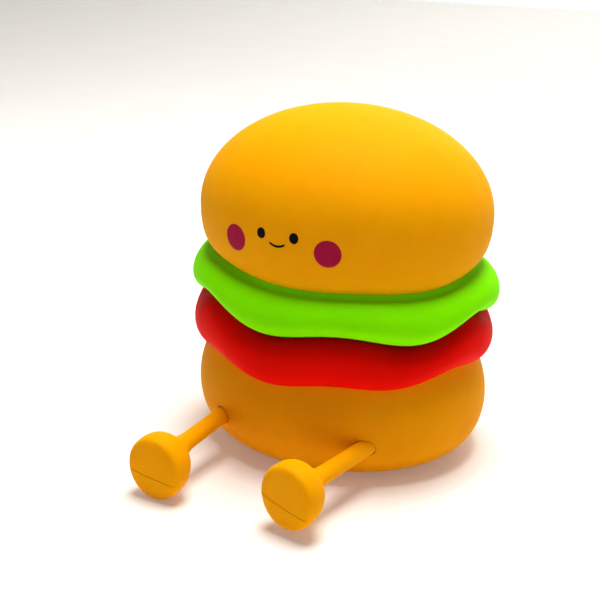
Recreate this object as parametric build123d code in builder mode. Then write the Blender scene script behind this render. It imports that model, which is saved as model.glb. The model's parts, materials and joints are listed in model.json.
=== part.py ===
from build123d import *
import os
from math import cos, pi, radians, sin

# Soft burger-shaped night lamp with two propping legs, in millimetres.
# +Z is up, the face and the legs point to -Y, and the origin is the centre of
# the underside that stands on the table. The top slides down 1 mm when pressed.

# ---- driving dimensions ------------------------------------------------------
BUN_R = 57.0             # half width of the top bun along X
PLAN_DEPTH = 0.863       # depth of the oval plan over its width
WALL = 3.0               # moulded silicone wall
HEIGHT = 132.0           # table to crown

BUN_Z = 79.0             # underside of the top bun
BUN_EQUATOR_Z = 93.2     # widest level of the top bun
BUN_LIP_R = 53.6         # where the top bun turns in over the lettuce
BUN_LIP_H = 3.4          # height and depth of that turn
LETTUCE_Z = 60.0
LETTUCE_TOP_Z = 77.5
LETTUCE_R = 60.6
TOMATO_Z = 41.5
TOMATO_R = 59.4
BASE_Z = 1.0
BASE_FLAT_R = 40.0
BASE_EQUATOR_Z = 21.5
BASE_R = 58.2
BASE_LIP_R = 52.5

FIT = 0.05               # radial clearance of running fits
SLACK = 0.3              # clearance of everything that only passes by

CORE_R = 40.0            # outside of the rigid core
CORE_WALL = 1.8
CORE_FOOT_R = 28.0
CORE_FOOT_Z = 4.0
CORE_SHOULDER_Z = 14.0
CORE_TOP_Z = 68.0
SLEEVE_R = CORE_R + 2 * FIT    # bore of everything soft that slips over the core

BEAD_SHARE = 0.55        # depth of a filling's rounded edge over its height

PAD_R = 27.5
PAD_CHAMFER = 0.3
PAD_H = 1.2
PLATE_R = 29.0

DECK_H = 2.0
DECK_Z = CORE_TOP_Z
DECK_TOP_Z = DECK_Z + DECK_H
POST_R = 3.1
BOSS_R = 3.0

SPOKE_ANGLES = (90, 210, 330)
SPOKE_W = 8.0
SPOKE_L = 37.5            # reaches into the ring
SPRING_R = 27.0          # radius of the ring of springs
SHOULDER_R = 34.0        # radius of the ring of shoulder screws
SPIDER_TOP_Z = BUN_Z + WALL
SPIDER_RING_R = 38.9
BUN_BORE_R = SPIDER_RING_R + 2 * FIT
SPIDER_BORE_R = 37.0

BOARD_H = 1.6
CONTROL_Z = 18.4
PORT_Z = CONTROL_Z + BOARD_H + 1.63
PORT_FACE_Y = 45.0
BEZEL_W = 26.0
BEZEL_H = 10.0
BEZEL_WALL = 1.5
BEZEL_IN_Y = CORE_R - 5.0
USB_W = 8.94
USB_H = 3.26
USB_L = 7.3
USB_SET_BACK = 0.4       # socket mouth behind the port face
USB_SHELL = 0.3
USB_TONGUE_W = 6.7
USB_TONGUE_H = 0.7
USB_END_SHARE = 0.49     # corner radius over height: almost a full round
KNOB_X = 8.4
KNOB_TRAVEL = 2.0

LEG_X = 29.6             # where each leg leaves the lower bun
LEG_Z = 16.7
LEG_R = 3.25
LEG_LEVEL_R = 58.0       # half width of the lower bun at the level of the legs
LEG_LENGTH = 43.0        # skin to the middle of the sole
LEG_DROOP = 2.0          # degrees below level
LEG_YAW = {"left": -1.6, "right": -11.6}    # degrees, towards -X
FOOT_ROLL = {"left": 9.0, "right": 12.0}   # degrees, how far each foot is turned
LEG_SIDE = {"left": -1, "right": 1}
SOCKET_R = 5.0
SPIGOT_R = 2.5
SPIGOT_HEAD_R = 3.4
SPIGOT_HEAD_H = 1.2
SOCKET_OUT = -12.0       # along the leg, measured from the skin
SOCKET_IN = -26.0
FOOT_W = 20.0
FOOT_H = 25.0
FOOT_T = 11.0

os.makedirs("parts", exist_ok=True)


def save(builder, name):
    """Label a finished piece and write it to its own file."""
    builder.part.label = name
    export_step(builder.part, f"parts/{name}.step")


def save_oval(builder, name):
    """Squeeze a round shell front to back into the oval plan, then write it."""
    shell = scale(builder.part, by=(1, PLAN_DEPTH, 1))
    shell.label = name
    export_step(shell, f"parts/{name}.step")


def bore(radius):
    """Outline in a round shell that the squeeze turns into a circle."""
    return Ellipse(radius, radius / PLAN_DEPTH)


# ---- the soft shell ----------------------------------------------------------
def bun_outline(inset):
    """Half section of the top bun, moved inward by inset."""
    crown_z = HEIGHT - inset
    side_r = BUN_R - inset
    lip_r = BUN_LIP_R - inset
    lip_z = BUN_Z + BUN_LIP_H + inset * 0.5
    floor_z = BUN_Z + inset
    Spline(
        (0, crown_z),
        (side_r * 0.76, BUN_EQUATOR_Z + (crown_z - BUN_EQUATOR_Z) * 0.66),
        (side_r, BUN_EQUATOR_Z),
        tangents=((1, 0), (0, -1)),
    )
    Spline(
        (side_r, BUN_EQUATOR_Z),
        (lip_r, lip_z),
        (lip_r - BUN_LIP_H, floor_z),
        tangents=((0, -1), (-1, -0.15)),
    )
    Line((lip_r - BUN_LIP_H, floor_z), (0, floor_z))
    Line((0, floor_z), (0, crown_z))


with BuildPart() as top_bun_skin:
    with BuildSketch(Plane.XZ):
        with BuildLine():
            bun_outline(0)
        make_face()
    revolve(axis=Axis.Z)
    with BuildSketch(Plane.XZ):
        with BuildLine():
            bun_outline(WALL)
        make_face()
    revolve(axis=Axis.Z, mode=Mode.SUBTRACT)
    with BuildSketch(Plane.XY.offset(BUN_Z)):
        bore(BUN_BORE_R)
    extrude(amount=WALL, mode=Mode.SUBTRACT)
save_oval(top_bun_skin, "top_bun_skin")


def filling_ring(low_z, high_z, outer_r):
    """A soft ring with a fully rounded outer bead and a straight bore."""
    bead_h = high_z - low_z
    shoulder_r = outer_r - bead_h * BEAD_SHARE
    with BuildPart() as ring:
        with BuildSketch(Plane.XZ):
            with BuildLine():
                Line((0, high_z), (0, low_z))
                Line((0, low_z), (shoulder_r, low_z))
                Spline(
                    (shoulder_r, low_z),
                    (outer_r, low_z + bead_h / 2),
                    (shoulder_r, high_z),
                    tangents=((1, 0), (-1, 0)),
                )
                Line((shoulder_r, high_z), (0, high_z))
            make_face()
        revolve(axis=Axis.Z)
        with BuildSketch(Plane.XY.offset(low_z)):
            bore(SLEEVE_R)
        extrude(amount=bead_h, mode=Mode.SUBTRACT)
    return ring


lettuce_ring = filling_ring(LETTUCE_Z, LETTUCE_TOP_Z, LETTUCE_R)
save_oval(lettuce_ring, "lettuce_ring")

tomato_ring = filling_ring(TOMATO_Z, LETTUCE_Z, TOMATO_R)
save_oval(tomato_ring, "tomato_ring")


def lower_outline(inset):
    """Half section of the lower bun, moved inward by inset."""
    flat_r = BASE_FLAT_R - inset * 0.4
    side_r = BASE_R - inset
    lip_r = BASE_LIP_R - inset
    Line((0, BASE_Z + inset), (flat_r, BASE_Z + inset))
    Spline(
        (flat_r, BASE_Z + inset),
        (side_r, BASE_EQUATOR_Z),
        (lip_r, TOMATO_Z - inset),
        tangents=((1, 0), (-0.6, 1)),
        tangent_scalars=(1.4, 0.9),
    )
    Line((lip_r, TOMATO_Z - inset), (0, TOMATO_Z - inset))
    Line((0, TOMATO_Z - inset), (0, BASE_Z + inset))


def leg_frame(side):
    """Plane whose origin is where a leg leaves the skin and whose Z runs down the leg."""
    yaw = radians(LEG_YAW[side])
    droop = radians(LEG_DROOP)
    along = Vector(sin(yaw) * cos(droop), -cos(yaw) * cos(droop), -sin(droop))
    across = Vector(cos(yaw), sin(yaw), 0)
    half_depth = PLAN_DEPTH * (LEG_LEVEL_R ** 2 - LEG_X ** 2) ** 0.5
    root = (LEG_SIDE[side] * LEG_X, -half_depth, LEG_Z)
    return Plane(origin=root, x_dir=across, z_dir=along)


def round_leg_frame(side):
    """The leg's frame as it lies in a shell that has not been squeezed yet."""
    root = leg_frame(side)
    origin = (root.origin.X, root.origin.Y / PLAN_DEPTH, root.origin.Z)
    along = Vector(root.z_dir.X, root.z_dir.Y / PLAN_DEPTH, root.z_dir.Z)
    return Plane(origin=origin, z_dir=along)


with BuildPart() as bottom_bun_skin:
    with BuildSketch(Plane.XZ):
        with BuildLine():
            lower_outline(0)
        make_face()
    revolve(axis=Axis.Z)
    with BuildSketch(Plane.XZ):
        with BuildLine():
            lower_outline(WALL)
        make_face()
    revolve(axis=Axis.Z, mode=Mode.SUBTRACT)
    with BuildSketch(Plane.XY.offset(BASE_Z)):
        bore(PLATE_R + 2 * FIT)
    extrude(amount=WALL, mode=Mode.SUBTRACT)
    with BuildSketch(Plane.XY.offset(TOMATO_Z)):
        bore(SLEEVE_R)
    extrude(amount=-WALL - SLACK, mode=Mode.SUBTRACT)
    for side in LEG_SIDE:
        with BuildSketch(round_leg_frame(side).offset(SOCKET_OUT)):
            Circle(LEG_R + SLACK)
        extrude(amount=-2 * SOCKET_OUT, mode=Mode.SUBTRACT)
    with BuildSketch(Plane.XZ.offset(-CORE_R)):
        with Locations((0, PORT_Z)):
            RectangleRounded(BEZEL_W + SLACK, BEZEL_H + SLACK, 3)
    extrude(amount=-BASE_R / 2, mode=Mode.SUBTRACT)
save_oval(bottom_bun_skin, "bottom_bun_skin")

# ---- base --------------------------------------------------------------------
with BuildPart() as base_pad:
    Cylinder(PAD_R, PAD_H, align=(Align.CENTER, Align.CENTER, Align.MIN))
    chamfer(base_pad.edges().group_by(Axis.Z)[0], PAD_CHAMFER)
save(base_pad, "base_pad")

BASE_SCREW_R = 1.25
BASE_SCREW_HEAD_R = 2.4
BASE_SCREW_RING = 23.5
BASE_SCREW_HEAD_H = 1.45
BASE_SCREWS = 4
BASE_SCREW_START = 45

with BuildPart() as base_plate:
    with BuildSketch(Plane.XY.offset(PAD_H)):
        Circle(PLATE_R)
    extrude(amount=CORE_FOOT_Z - PAD_H)
    with Locations(Plane.XY.offset(PAD_H)):
        with PolarLocations(BASE_SCREW_RING, BASE_SCREWS, start_angle=BASE_SCREW_START):
            Cylinder(BASE_SCREW_HEAD_R + FIT, BASE_SCREW_HEAD_H + FIT,
                     align=(Align.CENTER, Align.CENTER, Align.MIN), mode=Mode.SUBTRACT)
            Cylinder(BASE_SCREW_R + FIT, CORE_FOOT_Z, align=(Align.CENTER, Align.CENTER, Align.MIN),
                     mode=Mode.SUBTRACT)
save(base_plate, "base_plate")

BASE_SCREW_L = 9.0

with BuildPart() as base_screws:
    with Locations(Plane.XY.offset(PAD_H)):
        with PolarLocations(BASE_SCREW_RING, BASE_SCREWS, start_angle=BASE_SCREW_START):
            Cylinder(BASE_SCREW_HEAD_R, BASE_SCREW_HEAD_H, align=(Align.CENTER, Align.CENTER, Align.MIN))
            Cylinder(BASE_SCREW_R, BASE_SCREW_L, align=(Align.CENTER, Align.CENTER, Align.MIN))
save(base_screws, "base_screws")

# ---- rigid core --------------------------------------------------------------
BASE_BOSS_TOP_Z = 12.0
SCREW_FIT = 0.02

with BuildPart() as core_housing:
    with BuildSketch(Plane.XZ):
        with BuildLine():
            Polyline(
                (CORE_FOOT_R - CORE_WALL, CORE_FOOT_Z),
                (CORE_FOOT_R, CORE_FOOT_Z),
                (CORE_R, CORE_SHOULDER_Z),
                (CORE_R, CORE_TOP_Z),
                (CORE_R - CORE_WALL, CORE_TOP_Z),
                (CORE_R - CORE_WALL, CORE_SHOULDER_Z + 0.8),
                close=True,
            )
        make_face()
    revolve(axis=Axis.Z)
    with BuildSketch(Plane.XY.offset(CORE_FOOT_Z)):
        with PolarLocations(BASE_SCREW_RING, BASE_SCREWS, start_angle=BASE_SCREW_START):
            Circle(BOSS_R)
    extrude(amount=BASE_BOSS_TOP_Z - CORE_FOOT_Z)
    with BuildSketch(Plane.XY.offset(CORE_FOOT_Z)):
        with PolarLocations(BASE_SCREW_RING, BASE_SCREWS, start_angle=BASE_SCREW_START):
            Circle(BASE_SCREW_R + SCREW_FIT)
    extrude(amount=BASE_BOSS_TOP_Z - CORE_FOOT_Z, mode=Mode.SUBTRACT)
    for side in LEG_SIDE:
        with BuildSketch(leg_frame(side).offset(SOCKET_OUT)):
            Circle(SOCKET_R)
        extrude(amount=SOCKET_IN - SOCKET_OUT, mode=Mode.SUBTRACT)
        with BuildSketch(leg_frame(side).offset(SOCKET_IN)):
            Circle(SPIGOT_HEAD_R + SLACK)
        extrude(amount=-SPIGOT_HEAD_H - 2 * SLACK, mode=Mode.SUBTRACT)
    with BuildSketch(Plane.XZ.offset(-BEZEL_IN_Y)):
        with Locations((0, PORT_Z)):
            Rectangle(BEZEL_W, BEZEL_H)
    extrude(amount=BEZEL_IN_Y - CORE_R, mode=Mode.SUBTRACT)
save(core_housing, "core_housing")

TACT_BODY_H = 3.5
TACT_W = 6.0
SWITCH_BOARD_Z = 60.0
SWITCH_BOARD_W = 18.0
SWITCH_BOARD_TOP_Z = SWITCH_BOARD_Z + 1.2
SWITCH_BOARD_D = 12.6
TACT_TOP_Z = SWITCH_BOARD_TOP_Z + TACT_BODY_H
TACT_BUTTON_R = 1.75
TACT_BUTTON_TOP_Z = TACT_TOP_Z + 1.5
TACT_BUTTON_ROOT = 0.9
TACT_BORE_DEPTH = 2.2
TACT_CORNER_R = 0.4
BOARD_CORNER_R = 1.0
HANGER_X = 7.0
HANGER_R = 1.6
SHOULDER_BOSS_H = 6.0
SHOULDER_SHANK_R = 1.5
WIRE_HOLE_Y = -20.0
WIRE_HOLE_R = 1.2

with BuildPart() as led_deck:
    with BuildSketch(Plane.XY.offset(DECK_Z)):
        Circle(CORE_R)
    extrude(amount=DECK_H)
    with BuildSketch(Plane.XY.offset(DECK_Z)):
        with Locations((HANGER_X, 0), (-HANGER_X, 0)):
            Circle(HANGER_R)
    extrude(amount=SWITCH_BOARD_TOP_Z - DECK_Z)
    with BuildSketch(Plane.XY.offset(DECK_Z)):
        with PolarLocations(SHOULDER_R, len(SPOKE_ANGLES), start_angle=SPOKE_ANGLES[0]):
            Circle(BOSS_R)
    extrude(amount=-SHOULDER_BOSS_H)
    with BuildSketch(Plane.XY.offset(DECK_TOP_Z)):
        Circle(POST_R + FIT)
        with PolarLocations(SHOULDER_R, len(SPOKE_ANGLES), start_angle=SPOKE_ANGLES[0]):
            Circle(SHOULDER_SHANK_R)
        with Locations((0, WIRE_HOLE_Y)):
            Circle(WIRE_HOLE_R)
    extrude(amount=-DECK_H - SHOULDER_BOSS_H, mode=Mode.SUBTRACT)
save(led_deck, "led_deck")

with BuildPart() as switch_board:
    with BuildSketch(Plane.XY.offset(SWITCH_BOARD_Z)):
        RectangleRounded(SWITCH_BOARD_W, SWITCH_BOARD_D, BOARD_CORNER_R)
    extrude(amount=SWITCH_BOARD_TOP_Z - SWITCH_BOARD_Z)
save(switch_board, "switch_board")

with BuildPart() as tact_body:
    with BuildSketch(Plane.XY.offset(SWITCH_BOARD_TOP_Z)):
        RectangleRounded(TACT_W, TACT_W, TACT_CORNER_R)
    extrude(amount=TACT_BODY_H)
    with BuildSketch(Plane.XY.offset(TACT_TOP_Z)):
        Circle(TACT_BUTTON_R + FIT)
    extrude(amount=-TACT_BORE_DEPTH, mode=Mode.SUBTRACT)
save(tact_body, "tact_body")

with BuildPart() as tact_button:
    with BuildSketch(Plane.XY.offset(TACT_TOP_Z - TACT_BUTTON_ROOT)):
        Circle(TACT_BUTTON_R)
    extrude(amount=TACT_BUTTON_TOP_Z - TACT_TOP_Z + TACT_BUTTON_ROOT)
save(tact_button, "tact_button")

LED_BOARD_R = 23.0
LED_RING_R = 16.0
LEDS = 8
LED_L = 3.5
LED_W = 2.8
LED_H = 0.8
LED_CORNER_R = 0.3
LED_BOARD_TOP_Z = DECK_TOP_Z + BOARD_H

with BuildPart() as led_board:
    with BuildSketch(Plane.XY.offset(DECK_TOP_Z)):
        Circle(LED_BOARD_R)
        Circle(POST_R + 2, mode=Mode.SUBTRACT)
        with Locations((0, WIRE_HOLE_Y)):
            Circle(WIRE_HOLE_R, mode=Mode.SUBTRACT)
    extrude(amount=BOARD_H)
save(led_board, "led_board")

with BuildPart() as led_chips:
    with BuildSketch(Plane.XY.offset(LED_BOARD_TOP_Z)):
        with PolarLocations(LED_RING_R, LEDS):
            RectangleRounded(LED_L, LED_W, LED_CORNER_R)
    extrude(amount=LED_H)
save(led_chips, "led_chips")

SHOULDER_HEAD_R = 2.8
SHOULDER_HEAD_H = 1.6

with BuildPart() as shoulder_screws:
    with BuildSketch(Plane.XY.offset(DECK_Z - SHOULDER_BOSS_H + 1)):
        with PolarLocations(SHOULDER_R, len(SPOKE_ANGLES), start_angle=SPOKE_ANGLES[0]):
            Circle(SHOULDER_SHANK_R)
    extrude(amount=SPIDER_TOP_Z - DECK_Z + SHOULDER_BOSS_H - 1)
    with BuildSketch(Plane.XY.offset(SPIDER_TOP_Z)):
        with PolarLocations(SHOULDER_R, len(SPOKE_ANGLES), start_angle=SPOKE_ANGLES[0]):
            Circle(SHOULDER_HEAD_R)
    extrude(amount=SHOULDER_HEAD_H)
save(shoulder_screws, "shoulder_screws")

SPRING_WIRE_R = 0.35
SPRING_COIL_R = 2.4
SPRING_TURNS = 4

for number, angle in enumerate(SPOKE_ANGLES, start=1):
    spring_h = BUN_Z - DECK_TOP_Z - 2 * SPRING_WIRE_R
    seat = (SPRING_R * cos(radians(angle)), SPRING_R * sin(radians(angle)), DECK_TOP_Z + SPRING_WIRE_R)
    with BuildPart() as return_spring:
        with BuildLine(Plane(origin=seat)) as coil:
            Helix(pitch=spring_h / SPRING_TURNS, height=spring_h, radius=SPRING_COIL_R)
        with BuildSketch(Plane(origin=coil.line @ 0, z_dir=coil.line % 0)):
            Circle(SPRING_WIRE_R)
        sweep(path=coil.line, is_frenet=True)
    save(return_spring, f"return_spring_{number}")

# ---- moving top --------------------------------------------------------------
HUB_R = 6.0
CLIP_R = 40.5
CLIP_H = 1.8

with BuildPart() as press_spider:
    with BuildSketch(Plane.XY.offset(BUN_Z)):
        Circle(SPIDER_RING_R)
        Circle(SPIDER_BORE_R, mode=Mode.SUBTRACT)
        Circle(HUB_R)
        with PolarLocations(SPOKE_L / 2, len(SPOKE_ANGLES), start_angle=SPOKE_ANGLES[0]):
            Rectangle(SPOKE_L, SPOKE_W)
    extrude(amount=WALL)
    with BuildSketch(Plane.XY.offset(SPIDER_TOP_Z)):
        Circle(CLIP_R)
        Circle(SPIDER_BORE_R, mode=Mode.SUBTRACT)
    extrude(amount=CLIP_H)
    with BuildSketch(Plane.XY.offset(TACT_BUTTON_TOP_Z)):
        Circle(POST_R)
    extrude(amount=BUN_Z - TACT_BUTTON_TOP_Z)
    with BuildSketch(Plane.XY.offset(BUN_Z)):
        with PolarLocations(SHOULDER_R, len(SPOKE_ANGLES), start_angle=SPOKE_ANGLES[0]):
            Circle(SHOULDER_SHANK_R + FIT)
    extrude(amount=WALL, mode=Mode.SUBTRACT)
save(press_spider, "press_spider")

DOME_R = 40.0
DOME_Z = SPIDER_TOP_Z + CLIP_H
DOME_TOP_Z = 122.0
DOME_WALL = 1.5


def dome_outline(inset):
    """Half section of the diffuser dome, moved inward by inset."""
    Spline((DOME_R - inset, DOME_Z), (0, DOME_TOP_Z - inset), tangents=((0, 1), (-1, 0)),
           tangent_scalars=(1.1, 1.1))
    Line((0, DOME_TOP_Z - inset), (0, DOME_Z))
    Line((0, DOME_Z), (DOME_R - inset, DOME_Z))


with BuildPart() as diffuser_dome:
    with BuildSketch(Plane.XZ):
        with BuildLine():
            dome_outline(0)
        make_face()
    revolve(axis=Axis.Z)
    with BuildSketch(Plane.XZ):
        with BuildLine():
            dome_outline(DOME_WALL)
        make_face()
    revolve(axis=Axis.Z, mode=Mode.SUBTRACT)
save(diffuser_dome, "diffuser_dome")

# ---- electronics -------------------------------------------------------------
BATTERY_L = 34.0
BATTERY_W = 24.0
BATTERY_H = 6.0
TAPE_H = 0.6
TAPE_MARGIN = 6.0
TAPE_CORNER_R = 1.0
BATTERY_CORNER_R = 2.0
BATTERY_EDGE_R = 0.8

with BuildPart() as battery_tape:
    with BuildSketch(Plane.XY.offset(CORE_FOOT_Z)):
        RectangleRounded(BATTERY_L - TAPE_MARGIN, BATTERY_W - TAPE_MARGIN, TAPE_CORNER_R)
    extrude(amount=TAPE_H)
save(battery_tape, "battery_tape")

with BuildPart() as battery_cell:
    with BuildSketch(Plane.XY.offset(CORE_FOOT_Z + TAPE_H)):
        RectangleRounded(BATTERY_L, BATTERY_W, BATTERY_CORNER_R)
    extrude(amount=BATTERY_H)
    fillet(battery_cell.edges().group_by(Axis.Z)[-1], BATTERY_EDGE_R)
save(battery_cell, "battery_cell")

CONTROL_W = 22.0
CONTROL_BACK_Y = 8.0
CONTROL_FRONT_Y = 42.5

with BuildPart() as control_board:
    with BuildSketch(Plane.XY.offset(CONTROL_Z)):
        with Locations((0, (CONTROL_BACK_Y + CONTROL_FRONT_Y) / 2)):
            RectangleRounded(CONTROL_W, CONTROL_FRONT_Y - CONTROL_BACK_Y, BOARD_CORNER_R)
    extrude(amount=BOARD_H)
save(control_board, "control_board")

CHIP_Z = CONTROL_Z + BOARD_H

with BuildPart() as control_chips:
    with BuildSketch(Plane.XY.offset(CHIP_Z)):
        with Locations((-3, 18)):
            Rectangle(4.9, 3.9)
        with Locations((5, 20)):
            Rectangle(3.0, 3.0)
    extrude(amount=1.5)
    with BuildSketch(Plane.XY.offset(CHIP_Z)):
        with Locations((-4, 27), (0, 27), (4, 27)):
            Rectangle(1.6, 0.8)
    extrude(amount=0.8)
save(control_chips, "control_chips")

with BuildPart() as usb_socket:
    with BuildSketch(Plane.XZ.offset(-PORT_FACE_Y + USB_SET_BACK)):
        with Locations((0, PORT_Z)):
            RectangleRounded(USB_W, USB_H, USB_H * USB_END_SHARE)
    extrude(amount=USB_L)
    with BuildSketch(Plane.XZ.offset(-PORT_FACE_Y + USB_SET_BACK)):
        with Locations((0, PORT_Z)):
            RectangleRounded(USB_W - 2 * USB_SHELL, USB_H - 2 * USB_SHELL, (USB_H - 2 * USB_SHELL) * USB_END_SHARE)
            Rectangle(USB_TONGUE_W, USB_TONGUE_H, mode=Mode.SUBTRACT)
    extrude(amount=USB_L - 1, mode=Mode.SUBTRACT)
save(usb_socket, "usb_socket")

SLIDE_BODY_W = 6.0
SLIDE_BODY_H = 3.5
SLIDE_BODY_Y = 37.5
SLIDE_BODY_L = 4.0

with BuildPart() as slide_switch:
    with BuildSketch(Plane.XZ.offset(-SLIDE_BODY_Y)):
        with Locations((KNOB_X, PORT_Z + 0.12)):
            Rectangle(SLIDE_BODY_W, SLIDE_BODY_H)
    extrude(amount=-SLIDE_BODY_L)
save(slide_switch, "slide_switch")

KNOB_W = 1.8
KNOB_H = 1.8
KNOB_OUT_Y = 46.7
SLOT_W = KNOB_W + KNOB_TRAVEL + 2 * SLACK

with BuildPart() as power_knob:
    with BuildSketch(Plane.XZ.offset(-SLIDE_BODY_Y - SLIDE_BODY_L - SLACK)):
        with Locations((KNOB_X - KNOB_TRAVEL / 2, PORT_Z)):
            Rectangle(KNOB_W, KNOB_H)
    extrude(amount=-(KNOB_OUT_Y - SLIDE_BODY_Y - SLIDE_BODY_L - SLACK))
    fillet(power_knob.edges().group_by(Axis.Y)[-1], 0.3)
save(power_knob, "power_knob")

with BuildPart() as port_bezel:
    with BuildSketch(Plane.XZ.offset(-BEZEL_IN_Y)):
        with Locations((0, PORT_Z)):
            RectangleRounded(BEZEL_W, BEZEL_H, 2.8)
    extrude(amount=-(PORT_FACE_Y - BEZEL_IN_Y))
    with BuildSketch(Plane.XZ.offset(-BEZEL_IN_Y)):
        with Locations((0, PORT_Z)):
            Rectangle(BEZEL_W - 2 * BEZEL_WALL, BEZEL_H - 2 * BEZEL_WALL)
    extrude(amount=-(PORT_FACE_Y - BEZEL_IN_Y - BEZEL_WALL), mode=Mode.SUBTRACT)
    with BuildSketch(Plane.XZ.offset(-PORT_FACE_Y)):
        with Locations((0, PORT_Z)):
            RectangleRounded(USB_W + USB_SET_BACK, USB_H + USB_SET_BACK, (USB_H + USB_SET_BACK) * USB_END_SHARE)
        with Locations((KNOB_X, PORT_Z)):
            Rectangle(SLOT_W, KNOB_H + 2 * SLACK)
    extrude(amount=BEZEL_WALL, mode=Mode.SUBTRACT)
save(port_bezel, "port_bezel")

LEAD_R = 0.6


def lead(points, radii):
    """Insulated lead made of straight runs joined by arcs."""
    with BuildPart() as tube:
        with BuildLine() as route:
            FilletPolyline(*points, radius=radii)
        with BuildSketch(Plane(origin=route.line @ 0, z_dir=route.line % 0)):
            Circle(LEAD_R)
        sweep(path=route.line)
    return tube


battery_lead = lead(
    [(0, 14.6, 7.6), (0, 19.0, 7.6), (0, 19.0, 12.0), (0, 13.0, 15.0), (0, 13.0, CONTROL_Z)],
    [1.8, 1.8, 1.0],
)
save(battery_lead, "battery_lead")

led_lead = lead(
    [(-8, 10.0, CHIP_Z), (-8, 10.0, 30.0), (-4, WIRE_HOLE_Y + 6, 48.0), (0, WIRE_HOLE_Y, 60.0),
     (0, WIRE_HOLE_Y, LED_BOARD_TOP_Z)],
    [4.0, 4.0, 3.0],
)
save(led_lead, "led_lead")

switch_lead = lead(
    [(8, 10.0, CHIP_Z), (8, 10.0, 34.0), (4, 3.0, 48.0), (4, 3.0, SWITCH_BOARD_Z)],
    [4.0, 4.0],
)
save(switch_lead, "switch_lead")

# ---- legs --------------------------------------------------------------------
ANKLE_S = LEG_LENGTH - 22.0      # where the leg starts to flare into the foot
FOOT_BACK_S = LEG_LENGTH - FOOT_T
CORE_ROD_R = 1.0
ROD_END_S = LEG_LENGTH - 6.0

for side in LEG_SIDE:
    root = leg_frame(side)
    roll = radians(FOOT_ROLL[side])
    toe_x = root.x_dir * cos(roll) - root.y_dir * sin(roll)
    rolled = Plane(origin=root.origin, x_dir=toe_x, z_dir=root.z_dir)

    with BuildPart() as leg_socket:
        with BuildSketch(root.offset(SOCKET_IN)):
            Circle(SOCKET_R)
            Circle(SPIGOT_R + FIT, mode=Mode.SUBTRACT)
        extrude(amount=SOCKET_OUT - SOCKET_IN)
    save(leg_socket, f"{side}_leg_socket")

    with BuildPart() as leg_spigot:
        with BuildSketch(root.offset(SOCKET_IN - SLACK)):
            Circle(SPIGOT_R)
        extrude(amount=SOCKET_OUT - SOCKET_IN + 2 * SLACK)
        with BuildSketch(root.offset(SOCKET_IN - SLACK)):
            Circle(SPIGOT_HEAD_R)
        extrude(amount=-SPIGOT_HEAD_H)
        with BuildSketch(root.offset(SOCKET_IN)):
            Circle(CORE_ROD_R)
        extrude(amount=-SOCKET_IN, mode=Mode.SUBTRACT)
    save(leg_spigot, f"{side}_leg_spigot")

    with BuildPart() as leg_rod:
        with BuildSketch(root.offset(SOCKET_IN)):
            Circle(CORE_ROD_R)
        extrude(amount=ROD_END_S - SOCKET_IN)
    save(leg_rod, f"{side}_leg_rod")

    with BuildPart() as leg_stem:
        with BuildSketch(root.offset(SOCKET_OUT + SLACK)):
            Circle(LEG_R)
        extrude(amount=ANKLE_S + 1 - SOCKET_OUT - SLACK)
        with BuildSketch(root.offset(SOCKET_OUT)):
            Circle(CORE_ROD_R)
        extrude(amount=LEG_LENGTH, mode=Mode.SUBTRACT)
    save(leg_stem, f"{side}_leg_stem")

    with BuildPart() as foot:
        with BuildSketch(rolled.offset(FOOT_BACK_S)):
            Ellipse(FOOT_W / 2, FOOT_H / 2)
        extrude(amount=FOOT_T)
        fillet(foot.edges(), 3.6)
        with BuildSketch(root.offset(ANKLE_S + 1)):
            Circle(LEG_R)
        with BuildSketch(rolled.offset(FOOT_BACK_S - 4)):
            with Locations((0, 1.4)):
                Ellipse(5.4, 6.0)
        with BuildSketch(rolled.offset(FOOT_BACK_S + 4)):
            with Locations((0, 2.6)):
                Ellipse(8.0, 8.6)
        loft()
        with BuildSketch(root.offset(ANKLE_S)):
            Circle(CORE_ROD_R)
        extrude(amount=ROD_END_S - ANKLE_S, mode=Mode.SUBTRACT)
    save(foot, f"{side}_foot")
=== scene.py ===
"""Burger-shaped silicone night lamp with two propping legs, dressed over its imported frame."""

import json
import logging
import math
from dataclasses import dataclass
from enum import Enum

import bmesh
import bpy
from mathutils import Matrix, Vector
from mathutils.bvhtree import BVHTree


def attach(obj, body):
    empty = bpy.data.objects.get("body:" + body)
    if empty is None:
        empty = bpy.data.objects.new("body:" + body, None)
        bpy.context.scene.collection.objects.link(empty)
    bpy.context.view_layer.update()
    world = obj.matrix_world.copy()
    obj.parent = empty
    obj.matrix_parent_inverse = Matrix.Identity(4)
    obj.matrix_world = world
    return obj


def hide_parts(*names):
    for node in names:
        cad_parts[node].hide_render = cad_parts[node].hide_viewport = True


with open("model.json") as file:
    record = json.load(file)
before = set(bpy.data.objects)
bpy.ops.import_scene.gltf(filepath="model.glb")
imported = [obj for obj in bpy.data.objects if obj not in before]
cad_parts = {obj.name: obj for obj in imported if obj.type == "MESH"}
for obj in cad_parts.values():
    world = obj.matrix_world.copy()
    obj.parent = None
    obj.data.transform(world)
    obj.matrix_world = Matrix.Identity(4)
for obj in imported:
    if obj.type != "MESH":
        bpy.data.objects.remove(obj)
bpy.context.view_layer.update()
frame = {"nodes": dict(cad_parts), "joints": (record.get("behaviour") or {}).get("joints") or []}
LOG = logging.getLogger("burger_lamp")
MM = 0.001


class Body(Enum):
    """Rigid groups that a piece can ride on."""

    LAMP = "lamp_body"
    TOP = "press_top"
    LEFT_LEG = "left_leg"
    RIGHT_LEG = "right_leg"


class Pattern(Enum):
    """Ways a surface is broken up below the size of its moulded shape."""

    SATIN = "satin"
    BRUSHED = "brushed"
    WEAVE = "weave"
    CRUMPLED = "crumpled"
    CELLS = "cells"


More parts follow.
